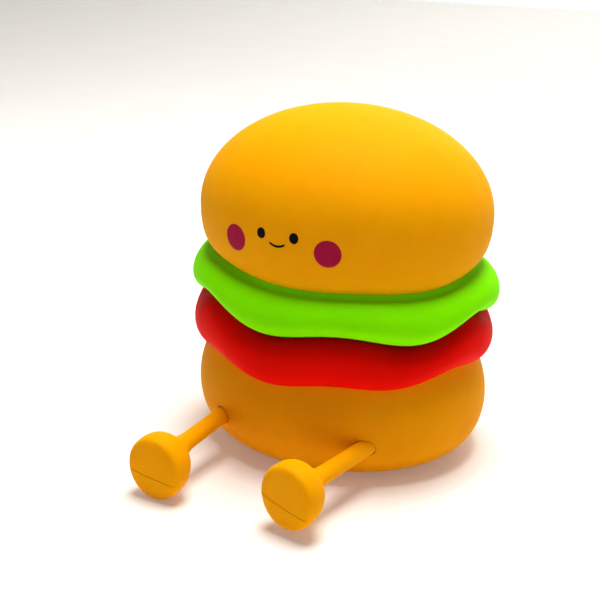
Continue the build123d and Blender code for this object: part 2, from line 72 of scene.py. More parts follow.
# ---- materials ---------------------------------------------------------------
WARM_BLEED = (1.0, 0.45, 0.12)
NOISE_ROUGHNESS = 0.55
MOTTLE_BAND = (0.35, 0.65)
ROUGHNESS_DRIFT = 0.05
WEAR_SIZE_SHARE = 0.6
DRAWN_STRETCH = (1.0, 1.0, 0.04)
WAVE_BANDS = 6.28
WEAVE_DISTORTION = 0.6


def srgb(colour: str) -> tuple[float, float, float, float]:
    """Turn an sRGB hex colour to linear RGBA.

    Args:
        colour: six hex digits after a hash sign.

    Returns:
        Linear red, green, blue and an alpha of one.
    """
    parts = [int(colour[i:i + 2], 16) / 255 for i in (1, 3, 5)]
    linear = [p / 12.92 if p <= 0.04045 else ((p + 0.055) / 1.055) ** 2.4 for p in parts]
    return (linear[0], linear[1], linear[2], 1.0)


def add_node(tree: bpy.types.NodeTree, kind: str, settings: dict, links: dict) -> bpy.types.Node:
    """Add a node, set its properties or unlinked sockets, and link the others.

    Args:
        tree: node tree that takes the node.
        kind: Blender's type name for the node.
        settings: property names or socket names to values.
        links: socket names or numbers to the output sockets that feed them.

    Returns:
        The new node.
    """
    node = tree.nodes.new(kind)
    for key, value in settings.items():
        if isinstance(key, str) and hasattr(node, key):
            setattr(node, key, value)
        else:
            node.inputs[key].default_value = value
    for key, source in links.items():
        tree.links.new(source, node.inputs[key])
    return node


@dataclass(frozen=True)
class Finish:
    """A real material and how its surface was made, sizes in millimetres.

    Args:
        name: the material's name.
        colour: its sRGB hex colour.
        shade: a second, close tone that it drifts to.
        roughness: middle of its roughness.
        ior: index of refraction, for what isn't metal.
        metallic: one for bare metal.
        mottle_mm: size of the patches of the two tones.
        grain_mm: size of the fine texture.
        relief_mm: height of the fine texture.
        pattern: kind of fine texture.
        bleed: how much light scatters below the surface.
        bleed_mm: how far it scatters.
        gloss: strength of the surface reflection.
        glow: light given off, for the studio's own sheets.
    """

    name: str
    colour: str
    shade: str
    roughness: float
    ior: float = 1.45
    metallic: float = 0.0
    mottle_mm: float = 14.0
    grain_mm: float = 0.5
    relief_mm: float = 0.01
    pattern: Pattern = Pattern.SATIN
    bleed: float = 0.0
    bleed_mm: float = 2.0
    gloss: float = 0.5
    glow: float = 0.0

    def build(self) -> bpy.types.Material:
        """Make the node material.

        Returns:
            A material that reads Object coordinates only.
        """
        made = bpy.data.materials.get(self.name)
        if made is not None:
            return made
        material = bpy.data.materials.new(self.name)
        material.use_nodes = True
        tree = material.node_tree
        tree.nodes.clear()
        place = add_node(tree, "ShaderNodeTexCoord", {}, {}).outputs["Object"]
        colour = self._colour(tree, place)
        height = self._relief(tree, place)
        bump = add_node(
            tree, "ShaderNodeBump", {"Strength": 1.0, "Distance": self.relief_mm * MM}, {"Height": height}
        )
        rough = self._roughness(tree, place)
        settings = {
            "Metallic": self.metallic,
            "Subsurface Weight": self.bleed,
            "Subsurface Radius": WARM_BLEED,
            "Subsurface Scale": self.bleed_mm * MM,
            "Specular IOR Level": self.gloss,
        }
        if self.metallic < 0.5:
            settings["IOR"] = self.ior
        if self.glow > 0.0:
            settings["Emission Color"] = srgb(self.colour)
            settings["Emission Strength"] = self.glow
        shader = add_node(
            tree,
            "ShaderNodeBsdfPrincipled",
            settings,
            {"Base Color": colour, "Roughness": rough, "Normal": bump.outputs["Normal"]},
        )
        add_node(tree, "ShaderNodeOutputMaterial", {}, {"Surface": shader.outputs["BSDF"]})
        return material

    def _noise(self, tree: bpy.types.NodeTree, place: bpy.types.NodeSocket, size_mm: float,
               detail: float) -> bpy.types.NodeSocket:
        """Noise whose lumps are about size_mm across."""
        settings = {"Scale": 1.0 / (size_mm * MM), "Detail": detail, "Roughness": NOISE_ROUGHNESS}
        return add_node(tree, "ShaderNodeTexNoise", settings, {"Vector": place}).outputs["Fac"]

    def _colour(self, tree: bpy.types.NodeTree, place: bpy.types.NodeSocket) -> bpy.types.NodeSocket:
        """Base colour: two close tones that drift into each other."""
        patches = self._noise(tree, place, self.mottle_mm, 3.0)
        ramp = add_node(tree, "ShaderNodeValToRGB", {}, {"Fac": patches})
        for stop, position, tone in zip(ramp.color_ramp.elements, MOTTLE_BAND, (self.shade, self.colour)):
            stop.position = position
            stop.color = srgb(tone)
        return ramp.outputs["Color"]

    def _roughness(self, tree: bpy.types.NodeTree, place: bpy.types.NodeSocket) -> bpy.types.NodeSocket:
        """Roughness that wanders a little, as handling leaves it."""
        level = add_node(
            tree,
            "ShaderNodeMapRange",
            {"To Min": self.roughness - ROUGHNESS_DRIFT, "To Max": self.roughness + ROUGHNESS_DRIFT},
            {"Value": self._noise(tree, place, self.mottle_mm * WEAR_SIZE_SHARE, 4.0)},
        )
        return level.outputs["Result"]

    def _relief(self, tree: bpy.types.NodeTree, place: bpy.types.NodeSocket) -> bpy.types.NodeSocket:
        """Height of the fine surface texture."""
        if self.pattern is Pattern.BRUSHED:
            stretched = add_node(tree, "ShaderNodeMapping", {"Scale": DRAWN_STRETCH}, {"Vector": place})
            return self._noise(tree, stretched.outputs["Vector"], self.grain_mm, 2.0)
        if self.pattern is Pattern.WEAVE:
            wave = add_node(
                tree,
                "ShaderNodeTexWave",
                {"Scale": 1.0 / (self.grain_mm * MM * WAVE_BANDS), "Distortion": WEAVE_DISTORTION},
                {"Vector": place},
            )
            return wave.outputs["Fac"]
        if self.pattern is Pattern.CRUMPLED:
            return self._noise(tree, place, self.grain_mm, 6.0)
        if self.pattern is Pattern.CELLS:
            cells = add_node(
                tree, "ShaderNodeTexVoronoi", {"Scale": 1.0 / (self.grain_mm * MM)}, {"Vector": place}
            )
            return cells.outputs["Distance"]
        return self._noise(tree, place, self.grain_mm, 3.0)


def soft_touch(name: str, colour: str, shade: str, roughness: float = 0.62, gloss: float = 0.04,
               bleed: float = 0.12, bleed_mm: float = 3.0) -> Finish:
    """Soft-touch silicone: a fine even grain over a rubber that light sinks into.

    Args:
        name: the material's name.
        colour: its sRGB hex colour.
        shade: a second, close tone.
        roughness: middle of its roughness.
        gloss: strength of the surface reflection.
        bleed: how much light scatters below the surface.
        bleed_mm: how far it scatters.

    Returns:
        The finish.
    """
    return Finish(name, colour, shade, roughness, 1.41, grain_mm=0.6, relief_mm=0.012,
                  bleed=bleed, bleed_mm=bleed_mm, gloss=gloss)


# Moulded liquid silicone rubber with a soft-touch top coat: satin, slightly see-into.
AMBER = soft_touch("soft_touch_amber_silicone", "#F8A600", "#F5A200")
# Bottom bun: the same amber made a little darker, painted shade for its dimmer lower half.
SHADED_AMBER = soft_touch("soft_touch_amber_silicone_painted_shade", "#F09C00", "#EC9800")
LIME = soft_touch("soft_touch_lime_silicone", "#84F600", "#80F200", 0.60, 0.02)
TOMATO = soft_touch("soft_touch_tomato_silicone", "#EC0A00", "#E60800", 0.58, 0.03, 0.08, 2.5)
# Pad-printed silicone inks: thin, a little smoother than the skin below.
BLACK_INK = Finish("black_silicone_ink", "#0A0812", "#08060E", 0.5, mottle_mm=1.5, grain_mm=0.4, gloss=0.05)
BERRY_INK = Finish("berry_silicone_ink", "#A8123F", "#A0103B", 0.55, mottle_mm=2.5, grain_mm=0.4, gloss=0.05)
# Injection-moulded ABS with a spark-eroded texture: even, dull white.
ABS = Finish("textured_white_abs", "#E9E8E2", "#E2E0D8", 0.48, 1.53, grain_mm=0.35, relief_mm=0.015)
# Frosted polycarbonate: milky, lets light through.
FROSTED = Finish("frosted_polycarbonate", "#F4F3EC", "#ECEAE0", 0.55, 1.58, grain_mm=0.3,
                 bleed=0.5, bleed_mm=5.0)
# Moulded black nylon: dark with a faint sheen.
NYLON = Finish("black_nylon", "#16161A", "#101013", 0.42, 1.53, mottle_mm=3.0, grain_mm=0.3)
# Dense rubber: nearly black, dull, pebbled against slipping.
RUBBER = Finish("pebbled_black_rubber", "#1B1B1C", "#141415", 0.78, 1.52, grain_mm=0.9, relief_mm=0.08,
                pattern=Pattern.CELLS)
# Zinc-plated and drawn steels: grey metal with fine drawn lines.
ZINC = Finish("zinc_plated_steel", "#C9CBCF", "#B4B7BC", 0.34, metallic=1.0, mottle_mm=2.0, grain_mm=0.15,
              pattern=Pattern.BRUSHED)
SPRING = Finish("drawn_spring_steel", "#9EA1A6", "#8B8E94", 0.3, metallic=1.0, mottle_mm=1.5, grain_mm=0.12,
                pattern=Pattern.BRUSHED)
STAINLESS = Finish("stainless_steel", "#CFCFCD", "#BDBDBA", 0.26, metallic=1.0, mottle_mm=2.0, grain_mm=0.15,
                   pattern=Pattern.BRUSHED)
# Glass-fibre boards under solder mask: glossy with the glass weave telegraphing through.
BOARD = Finish("green_fr4", "#0F5A2A", "#0B4A22", 0.3, 1.55, mottle_mm=4.0, grain_mm=0.5, relief_mm=0.02,
               pattern=Pattern.WEAVE)
WHITE_BOARD = Finish("white_solder_mask", "#EDEDE6", "#E4E4DB", 0.35, 1.55, mottle_mm=4.0, grain_mm=0.5,
                     relief_mm=0.02, pattern=Pattern.WEAVE)
# Phosphor-filled silicone over the chips: waxy yellow.
PHOSPHOR = Finish("phosphor_silicone", "#F2D14A", "#E8C235", 0.35, mottle_mm=1.0, grain_mm=0.2,
                  bleed=0.4, bleed_mm=0.5)
# Laminated aluminium pouch: bright, softly crumpled.
FOIL = Finish("aluminium_pouch", "#C8CACD", "#B5B8BC", 0.36, metallic=1.0, mottle_mm=6.0, grain_mm=3.0,
              relief_mm=0.12, pattern=Pattern.CRUMPLED)
# Closed-cell foam tape: dark grey, full of small bubbles.
FOAM = Finish("closed_cell_foam", "#3A3A3C", "#2E2E30", 0.9, 1.4, relief_mm=0.1, pattern=Pattern.CELLS)
# Extruded PVC insulation: smooth red.
PVC = Finish("red_pvc", "#B01212", "#A00E0E", 0.4, 1.53, mottle_mm=3.0, grain_mm=0.4)
# Painted tabletop and matte card: the studio's own sheets, which glow a little to stay near white.
TABLETOP = Finish("matte_tabletop", "#F2EEE8", "#EFEAE3", 0.85, mottle_mm=60.0, grain_mm=1.5, relief_mm=0.02,
                  gloss=0.1, glow=0.16)
CARD = Finish("matte_card", "#DFE3E4", "#DCE1E2", 0.9, mottle_mm=80.0, grain_mm=2.0, relief_mm=0.02,
              gloss=0.05, glow=0.60)

NODE_FINISHES: dict[str, Finish] = {
    "base_pad": RUBBER,
    "base_plate": ABS,
    "base_screws": ZINC,
    "core_housing": ABS,
    # The bottom bun takes the darker amber: painted shade, not a different silicone.
    "bottom_bun_skin": SHADED_AMBER,
    "led_deck": ABS,
    "switch_board": BOARD,
    "tact_body": NYLON,
    "led_board": WHITE_BOARD,
    "led_chips": PHOSPHOR,
    "shoulder_screws": ZINC,
    "battery_tape": FOAM,
    "battery_cell": FOIL,
    "control_board": BOARD,
    "control_chips": NYLON,
    "usb_socket": STAINLESS,
    "slide_switch": STAINLESS,
    "port_bezel": ABS,
    "battery_lead": PVC,
    "led_lead": PVC,
    "switch_lead": PVC,
    "left_leg_socket": ABS,
    "right_leg_socket": ABS,
    "return_spring_1": SPRING,
    "return_spring_2": SPRING,
    "return_spring_3": SPRING,
    "press_spider": ABS,
    "diffuser_dome": FROSTED,
    "tact_button": NYLON,
    "left_leg_rod": ZINC,
    "left_leg_spigot": ABS,
    "right_leg_rod": ZINC,
    "right_leg_spigot": ABS,
    "power_knob": NYLON,
}


# ---- mesh helpers ------------------------------------------------------------
def finish_piece(mesh: bmesh.types.BMesh, name: str, body: Body, finish: Finish,
                 replaced: tuple[str, ...] = ()) -> bpy.types.Object:
    """Turn a bmesh into a dressed piece that rides on a body.

    Args:
        mesh: the shape in metres, in the frame's own axes. It is freed.
        name: name of the new piece.
        body: body that it moves with.
        finish: its material.
        replaced: CAD nodes that it stands for.

    Returns:
        The new object.
    """
    bmesh.ops.recalc_face_normals(mesh, faces=mesh.faces)
    for face in mesh.faces:
        face.smooth = True
    data = bpy.data.meshes.new(name)
    mesh.to_mesh(data)
    mesh.free()
    data.materials.append(finish.build())
    piece = bpy.data.objects.new(name, data)
    bpy.context.scene.collection.objects.link(piece)
    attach(piece, body.value)
    if replaced:
        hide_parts(*replaced)
    LOG.info("%s: %d faces on %s", name, len(data.polygons), body.value)
    return piece


def spin_outline(outline: list[tuple[float, float]], steps: int) -> bmesh.types.BMesh:
    """Spin a half section round Z.

    Args:
        outline: radius and height pairs in metres; a first and a last point on the axis close the poles.
        steps: faces round the axis.

    Returns:
        The spun surface with its doubles merged.
    """
    mesh = bmesh.new()
    points = [mesh.verts.new((radius, 0.0, height)) for radius, height in outline]
    edges = [mesh.edges.new(pair) for pair in zip(points, points[1:])]
    if outline[0][0] > 0.0:
        edges.append(mesh.edges.new((points[-1], points[0])))
    bmesh.ops.spin(
        mesh, geom=points + edges, cent=(0, 0, 0), axis=(0, 0, 1), angle=math.tau, steps=steps, use_merge=True
    )
    bmesh.ops.remove_doubles(mesh, verts=mesh.verts, dist=1e-6)
    return mesh


def quarter(centre: tuple[float, float], reach: tuple[float, float], start: float, end: float,
            steps: int, power: float = 1.0) -> list[tuple[float, float]]:
    """Points on part of a rounded-off ellipse.

    Args:
        centre: radius and height of its centre.
        reach: half sizes along radius and height.
        start: first angle in degrees, from +radius towards +height.
        end: last angle in degrees.
        steps: spans between the points.
        power: under one swells the corners, over one flattens them.

    Returns:
        Radius and height pairs.
    """
    points = []
    for step in range(steps + 1):
        angle = math.radians(start + (end - start) * step / steps)
        across, up = math.cos(angle), math.sin(angle)
        points.append((
            centre[0] + reach[0] * math.copysign(abs(across) ** power, across),
            centre[1] + reach[1] * math.copysign(abs(up) ** power, up),
        ))
    return points


def turn_of(point: Vector) -> float:
    """Angle of a point round Z, in radians from +X."""
    return math.atan2(point.y, point.x)


def smooth(value: float) -> float:
    """Ease from 0 to 1."""
    held = min(max(value, 0.0), 1.0)
    return held * held * (3.0 - 2.0 * held)


# ---- the soft shell ----------------------------------------------------------
@dataclass(frozen=True)
class Wave:
    """How far an edge rises by its angle round Z, in metres and radians.

    Args:
        level: rise of the whole edge.
        droop: extra fall towards the front.
        droop_power: how closely that fall gathers at the front.
        droop_turn: where the fall is deepest, against the front.
        tilt: fall at one side, which is a rise at the other.
        tilt_turn: where the tilt falls most, against +X.
        lobe: half height of the lobes.
        lobes: how many there are.
        lobe_turn: where they start.
        uneven: share by which the lobes' height varies.
        uneven_beats: how often it varies in a turn.
        uneven_turn: where it starts to vary.
        ripple: half height of a longer, slower ripple.
        ripples: how many ripples there are.
        ripple_turn: where they start.
    """

    level: float
    droop: float
    lobe: float
    lobes: int
    lobe_turn: float
    droop_power: float = 1.5
    droop_turn: float = 0.0
    tilt: float = 0.0
    tilt_turn: float = 0.0
    uneven: float = 0.0
    uneven_beats: int = 1
    uneven_turn: float = 0.0
    ripple: float = 0.0
    ripples: int = 2
    ripple_turn: float = 0.0

    def rise(self, turn: float) -> float:
        """Rise at an angle round Z."""
        front = max(-math.sin(turn + self.droop_turn), 0.0) ** self.droop_power
        slope = self.tilt * math.cos(turn + self.tilt_turn)
        scale = 1.0 + self.uneven * math.sin(self.uneven_beats * turn + self.uneven_turn)
        lobes = self.lobe * math.cos(self.lobes * (turn + self.lobe_turn)) * scale
        ripples = self.ripple * math.sin(self.ripples * turn + self.ripple_turn)
        return self.level - self.droop * front - slope - lobes + ripples


BUN_EDGE = Wave(level=-0.0019, droop=0.0034, tilt=0.0015, tilt_turn=0.26, lobe=0.0006, lobes=5,
                lobe_turn=1.69, ripple=0.0006, ripples=3, ripple_turn=0.6)
LETTUCE_EDGE = Wave(level=-0.0002, droop=0.0026, tilt=0.0013, tilt_turn=0.17, lobe=0.0023, lobes=6,
                    lobe_turn=math.radians(99), uneven=0.25, uneven_beats=2, uneven_turn=0.8, ripple=0.0004)
TOMATO_EDGE = Wave(level=-0.0010, droop=0.0036, droop_power=2.0, droop_turn=0.09, lobe=0.0015, lobes=7,
                   lobe_turn=math.radians(98), uneven=0.3, uneven_turn=-0.5)


@dataclass(frozen=True)
class Filling:
    """One soft ring between the buns, in metres.

    Args:
        name: piece name.
        levels: lowest and highest level of the plain ring.
        outer_r: its outside radius.
        low_wave: how its lower lip waves.
        top_wave: how its upper lip waves.
        finish: its material.
        slot: the record's slot; not used.
        replaced: the CAD ring that it stands for.
    """

    name: str
    levels: tuple[float, float]
    outer_r: float
    low_wave: Wave
    top_wave: Wave
    finish: Finish
    slot: str
    replaced: str


@dataclass
class SoftShell:
    """Top bun and the two wavy fillings, in metres.

    The powers are those of quarter(): under one swells a corner, over one flattens it.
    """

    bun_r: float = 57.0 * MM
    plan_depth: float = 0.863
    crown_z: float = 132.0 * MM
    equator_z: float = 93.2 * MM
    bun_low_z: float = 78.65 * MM
    wall: float = 3.0 * MM
    bore_r: float = 39.1 * MM
    bore_rim: float = 0.5 * MM
    belly_w: float = 9.5 * MM
    dome_power: float = 0.99
    belly_power: float = 0.84
    sleeve_r: float = 40.1 * MM
    lip_w: float = 9.6 * MM
    lip_power: float = 0.94
    flat_w: float = 3.0 * MM
    free_share: float = 0.6
    lag: float = 0.35
    lag_share: float = 0.4
    swell_per_metre: float = 5.5
    steps: int = 192
    lettuce: Filling = Filling("lettuce_frill", (60.0 * MM, 77.5 * MM), 60.3 * MM, LETTUCE_EDGE, BUN_EDGE,
                               LIME, "lime_silicone", "lettuce_ring")
    tomato: Filling = Filling("tomato_slice", (41.5 * MM, 60.0 * MM), 59.3 * MM, TOMATO_EDGE, LETTUCE_EDGE,
                              TOMATO, "tomato_silicone", "tomato_ring")

    def build(self) -> bpy.types.Object:
        """Build the bun and both fillings.

        Returns:
            The top bun.
        """
        bun = self._top_bun()
        for filling in (self.lettuce, self.tomato):
            self._ring(filling)
        return bun

    def _squeeze(self, mesh: bmesh.types.BMesh, bore: float) -> None:
        """Squeeze a round shell front to back into the oval plan, and leave its bore round.

        Args:
            mesh: the spun shell.
            bore: radius of the bore that stays a circle.
        """
        floor_z = self.bun_low_z + self.wall + self.bore_rim
        for vert in mesh.verts:
            radius = math.hypot(vert.co.x, vert.co.y)
            if radius > bore + self.bore_rim or vert.co.z > floor_z:
                vert.co.y *= self.plan_depth

    def _bun_outline(self, inset: float) -> list[tuple[float, float]]:
        """Half section from the crown down to the bore in the floor, moved inward by inset."""
        side = self.bun_r - inset
        dome_h = self.crown_z - self.equator_z - inset
        dome = quarter((0.0, self.equator_z), (side, dome_h), 90, 0, 40, self.dome_power)
        belly_h = self.equator_z - self.bun_low_z - inset
        belly_centre = (side - self.belly_w, self.equator_z)
        belly = quarter(belly_centre, (self.belly_w, belly_h), 0, -90, 16, self.belly_power)
        return dome + belly[1:] + [(self.bore_r, self.bun_low_z + inset)]

    def _top_bun(self) -> bpy.types.Object:
        """Hollow moulded bun, open below where it clips on."""
        inner = self._bun_outline(self.wall)
        inner.reverse()
        mesh = spin_outline(self._bun_outline(0.0) + inner, self.steps)
        for vert in mesh.verts:
            low = smooth((self.equator_z - vert.co.z) / (self.equator_z - self.bun_low_z))
            vert.co.z += low * BUN_EDGE.rise(turn_of(vert.co))
        self._squeeze(mesh, self.bore_r)
        return finish_piece(mesh, "top_bun", Body.TOP, AMBER, ("top_bun_skin",))

    def _ring(self, filling: Filling) -> None:
        """One soft ring whose lip waves with its neighbours."""
        low, high = filling.levels
        middle, half = (low + high) / 2, (high - low) / 2
        lip_r = filling.outer_r - self.lip_w
        lip = quarter((lip_r, middle), (self.lip_w, half), -90, 90, 36, self.lip_power)
        mesh = spin_outline([(self.sleeve_r, low)] + lip + [(self.sleeve_r, high)], self.steps)
        for vert in mesh.verts:
            turn = turn_of(vert.co)
            radius = math.hypot(vert.co.x, vert.co.y)
            free = smooth((radius - (lip_r - self.flat_w)) / (self.lip_w * self.free_share))
            share = (vert.co.z - low) / (high - low)
            low_rise = filling.low_wave.rise(turn)
            vert.co.z += free * ((1.0 - share) * low_rise + share * filling.top_wave.rise(turn))
            late = filling.low_wave.rise(turn + self.lag) * share * self.lag_share
            swell = 1.0 - free * (low_rise * (1.0 - share) + late) * self.swell_per_metre
            vert.co.x *= swell
            vert.co.y *= swell
        self._squeeze(mesh, self.sleeve_r)
        finish_piece(mesh, filling.name, Body.LAMP, filling.finish, (filling.replaced,))


# ---- printed face ------------------------------------------------------------
@dataclass
class PrintedFace:
    """Two eyes, a smile and two cheeks printed on the front of the top bun."""

    skin: bpy.types.Object
    middle: float = -2.9 * MM
    level: float = 93.9 * MM
    eye_x: float = 6.6 * MM
    cheek_x: float = 18.7 * MM
    cheek_drop: float = 4.3 * MM
    smile_drop: float = 2.8 * MM
    eye_half: tuple[float, float] = (1.75 * MM, 1.95 * MM)
    cheek_half: tuple[float, float] = (5.0 * MM, 4.9 * MM)
    smile_half: tuple[float, float] = (3.15 * MM, 0.42 * MM)
    smile_dip: float = 1.05 * MM
    skin_r: float = 57.0 * MM
    start_y: float = -0.2
    film: float = 0.06 * MM
    thickness: float = 0.132 * MM

    def build(self) -> None:
        """Print every mark."""
        tree = BVHTree.FromObject(self.skin, bpy.context.evaluated_depsgraph_get())
        for side, sign in (("left", -1), ("right", 1)):
            eye = self._spot(*self.eye_half)
            self._print(tree, eye, f"{side}_eye", self.middle + sign * self.eye_x, self.level, BLACK_INK)
            cheek = self._spot(*self.cheek_half)
            self._print(tree, cheek, f"{side}_cheek", self.middle + sign * self.cheek_x,
                        self.level - self.cheek_drop, BERRY_INK)
        self._print(tree, self._smile(), "smile", self.middle, self.level - self.smile_drop, BLACK_INK)

    @staticmethod
    def _spot(half_w: float, half_h: float) -> bmesh.types.BMesh:
        """Oval of fine rings, flat in X and Z."""
        mesh = bmesh.new()
        rings, steps = 8, 48
        points = [mesh.verts.new((ring / rings, 0, 0)) for ring in range(rings + 1)]
        edges = [mesh.edges.new(pair) for pair in zip(points, points[1:])]
        bmesh.ops.spin(mesh, geom=points + edges, cent=(0, 0, 0), axis=(0, 1, 0), angle=math.tau,
                       steps=steps, use_merge=True)
        bmesh.ops.remove_doubles(mesh, verts=mesh.verts, dist=1e-5)
        bmesh.ops.scale(mesh, vec=(half_w, 1, half_h), verts=mesh.verts)
        return mesh

    def _smile(self) -> bmesh.types.BMesh:
        """Shallow arc of even thickness with rounded ends, flat in X and Z."""
        mesh = bmesh.new()
        bmesh.ops.create_grid(mesh, x_segments=40, y_segments=4, size=0.5)
        upright = Matrix.Rotation(math.pi / 2, 3, "X")
        bmesh.ops.rotate(mesh, verts=mesh.verts, cent=(0, 0, 0), matrix=upright)
        half_w, half_t = self.smile_half
        for vert in mesh.verts:
            along, across = vert.co.x * 2, vert.co.z * 2
            end = max(abs(along) * 1.08 - 0.08, 0.0)
            roundness = math.sqrt(max(1.0 - end ** 14, 0.04))
            height = across * half_t * roundness + self.smile_dip * (along * along - 1.0)
            vert.co = Vector((along * half_w, 0, height))
        return mesh

    def _print(self, tree: BVHTree, mesh: bmesh.types.BMesh, name: str, x: float, z: float,
               finish: Finish) -> None:
        """Lay a flat mark on the skin from the front and give it the thickness of a print.

        Args:
            tree: the skin's surface.
            mesh: flat mark in X and Z.
            name: piece name.
            x: where its middle goes, sideways.
            z: where its middle goes, in height.
            finish: ink.
        """
        lean = math.asin((x - self.middle) / self.skin_r)
        for vert in mesh.verts:
            across = x + vert.co.x * math.cos(lean)
            start = Vector((across, self.start_y, z + vert.co.z))
            hit, normal, _, _ = tree.ray_cast(start, Vector((0, 1, 0)))
            vert.co = hit + normal * self.film
        skin = bmesh.ops.extrude_face_region(mesh, geom=mesh.faces[:])
        top = [item for item in skin["geom"] if isinstance(item, bmesh.types.BMVert)]
        bmesh.ops.translate(mesh, vec=(0, self.thickness, 0), verts=top)
        finish_piece(mesh, name, Body.TOP, finish)


# ---- legs --------------------------------------------------------------------
@dataclass(frozen=True)
class FootRing:
    """One cross-section of a leg and its foot, in millimetres.

    Args:
        s_up: how far its top is from the bun's skin along the leg.
        s_down: the same for its bottom.
        half_w: half of its width.
        up: its height above its middle.
        down: its depth below its middle.
    """

    s_up: float
    s_down: float
    half_w: float
    up: float
    down: float


@dataclass
class Foot:
    """A leg and its shoe-shaped foot, moulded in one.

    Args:
        side: left or right.
        body: body that it moves with.
        root: where the leg leaves the bun.
        along: direction of the leg.
        roll: how far it is turned round the leg, in radians.
        offset: how far the sole's middle is to the side of the leg's axis and above it.
        rings: its cross-sections from the bun outward.
        segments: corners of a cross-section.
        ankle_s: where the offset starts, in millimetres.
        sole_s: where the offset is complete, in millimetres.
        seam_drop: how far the seam is below the sole's middle.
        seam_reach: half of the seam's longest run.
        seam_r: radius of the seam's bead.
    """

    side: str
    body: Body
    root: Vector
    along: Vector
    roll: float
    offset: tuple[float, float]
    rings: tuple[FootRing, ...] = (
        FootRing(-9.0, -9.0, 3.25, 3.25, 3.25),
        FootRing(-8.6, -8.6, 3.25, 3.25, 3.25),
        FootRing(21.0, 21.4, 3.25, 3.25, 3.25),
        FootRing(24.6, 25.2, 3.38, 3.40, 3.35),
        FootRing(28.2, 28.8, 4.10, 4.00, 3.80),
        FootRing(30.6, 32.2, 6.60, 6.20, 5.40),
        FootRing(32.2, 34.0, 8.80, 8.60, 8.20),
        FootRing(33.4, 35.0, 10.20, 10.40, 10.80),
        FootRing(35.6, 36.8, 11.20, 12.00, 12.30),
        FootRing(39.0, 39.4, 11.40, 12.50, 12.60),
        FootRing(42.0, 42.0, 11.20, 12.40, 12.50),
        FootRing(43.4, 43.4, 10.30, 11.50, 11.60),
        FootRing(43.9, 43.9, 7.40, 8.30, 8.40),
        FootRing(44.0, 44.0, 3.00, 3.40, 3.40),
    )
    segments: int = 32
    ankle_s: float = 26.0
    sole_s: float = 35.0
    seam_drop: float = 3.2 * MM
    seam_reach: float = 10.4 * MM
    seam_r: float = 0.24 * MM

    def build(self) -> None:
        """Build the foot and the fine seam across its sole."""
        across = Vector((-self.along.y, self.along.x, 0)).normalized()
        upward = self.along.cross(across).normalized()
        axes = Matrix((across, upward, self.along)).transposed()
        place = Matrix.Translation(self.root) @ axes.to_4x4() @ Matrix.Rotation(-self.roll, 4, "Z")
        mesh = bmesh.new()
        first = bmesh.ops.create_circle(mesh, segments=self.segments, radius=1.0)["verts"]
        self._shape(first, FootRing(0.0, 0.0, 1.0, 1.0, 1.0), self.rings[0])
        rim = [edge for edge in mesh.edges]
        for before, ring in zip(self.rings, self.rings[1:]):
            grown = bmesh.ops.extrude_edge_only(mesh, edges=rim)["geom"]
            verts = [item for item in grown if isinstance(item, bmesh.types.BMVert)]
            rim = [item for item in grown if isinstance(item, bmesh.types.BMEdge)]
            self._shape(verts, before, ring)
        bmesh.ops.contextual_create(mesh, geom=rim)
        bmesh.ops.holes_fill(mesh, edges=[edge for edge in mesh.edges if edge.is_boundary], sides=0)
        bmesh.ops.transform(mesh, matrix=place, verts=mesh.verts)
        piece = finish_piece(mesh, f"{self.side}_shoe", self.body, AMBER,
                             (f"{self.side}_foot", f"{self.side}_leg_stem"))
        rounding = piece.modifiers.new("rounding", "SUBSURF")
        rounding.levels = rounding.render_levels = 2
        self._seam(piece, place)

    def _shape(self, verts: list[bmesh.types.BMVert], before: FootRing, ring: FootRing) -> None:
        """Move a ring of vertices to its cross-section, keeping each one's angle.

        Args:
            verts: the vertices.
            before: the cross-section that they stand on now.
            ring: the cross-section wanted.
        """
        for vert in verts:
            width = vert.co.x - self.offset[0] * self._share(before)
            height = vert.co.y - self.offset[1] * self._share(before)
            old_reach = before.up if height > 0 else before.down
            angle = math.atan2(height / old_reach, width / before.half_w)
            rise = math.sin(angle)
            share = smooth((rise + 1.0) / 2.0)
            reach = ring.up if rise > 0 else ring.down
            vert.co.x = ring.half_w * MM * math.cos(angle) + self.offset[0] * self._share(ring)
            vert.co.y = reach * MM * rise + self.offset[1] * self._share(ring)
            vert.co.z = (ring.s_down + (ring.s_up - ring.s_down) * share) * MM

    def _share(self, ring: FootRing) -> float:
        """How much of the sole's offset from the leg's axis a cross-section takes."""
        return smooth((ring.s_up - self.ankle_s) / (self.sole_s - self.ankle_s))

    def _seam(self, foot: bpy.types.Object, place: Matrix) -> None:
        """Raised hairline left where the two mould halves met, low on the sole."""
        bpy.context.view_layer.update()
        tree = BVHTree.FromObject(foot, bpy.context.evaluated_depsgraph_get())
        steps, start_s = 24, 60 * MM
        points = []
        for step in range(steps + 1):
            sideways = self.seam_reach * (2 * step / steps - 1)
            start = place @ Vector((sideways, self.offset[1] - self.seam_drop, start_s))
            hit = tree.ray_cast(start, -self.along)[0]
            if hit is not None:
                points.append(hit)
        bead(points, self.seam_r, f"{self.side}_sole_seam", self.body, AMBER)


